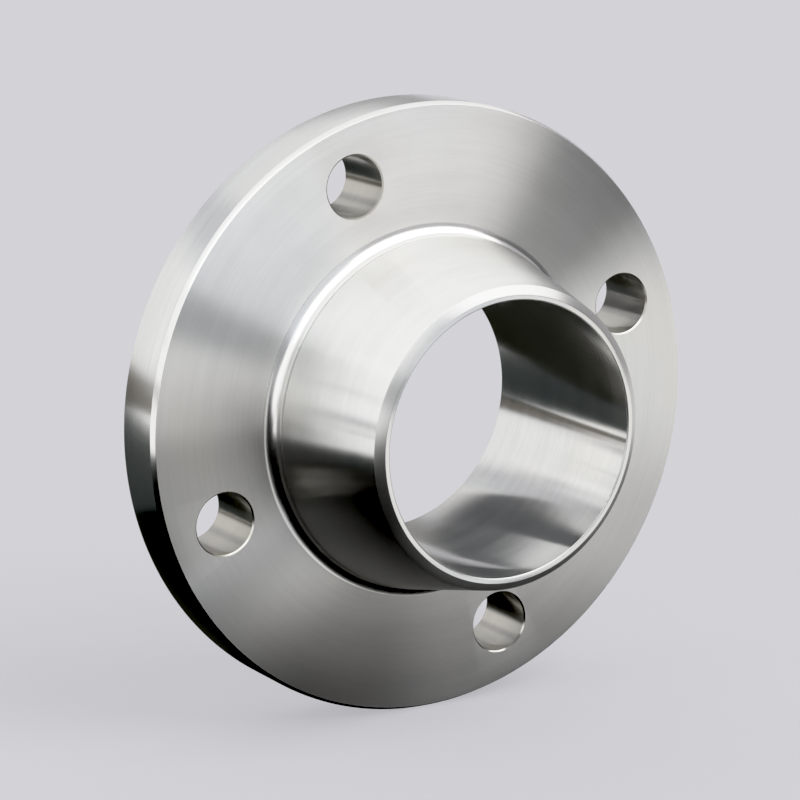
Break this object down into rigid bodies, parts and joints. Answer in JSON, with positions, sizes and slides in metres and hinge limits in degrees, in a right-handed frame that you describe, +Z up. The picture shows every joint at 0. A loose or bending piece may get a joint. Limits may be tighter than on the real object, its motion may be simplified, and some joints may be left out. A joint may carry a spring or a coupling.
{
  "type": "weld neck pipe flange",
  "caption": "Round steel pipe flange with a raised sealing face, bolt holes, a through bore and a conical neck bevelled for butt welding to a pipe.",
  "frame": {"origin": "on the flange's axis, half way between the raised face and the weld end", "axes": "flange standing on its rim: +Z up, +Y along the axis out of the raised face, -Y along the axis out of the neck's weld end"},
  "size_m": [0.1906, 0.0698, 0.1906],
  "materials": {
    "stainless_steel": "turned satin, with circular tool marks"
  },
  "bodies": {
    "root": {"flange_forging": "stainless_steel"}
  },
  "joints": []
}
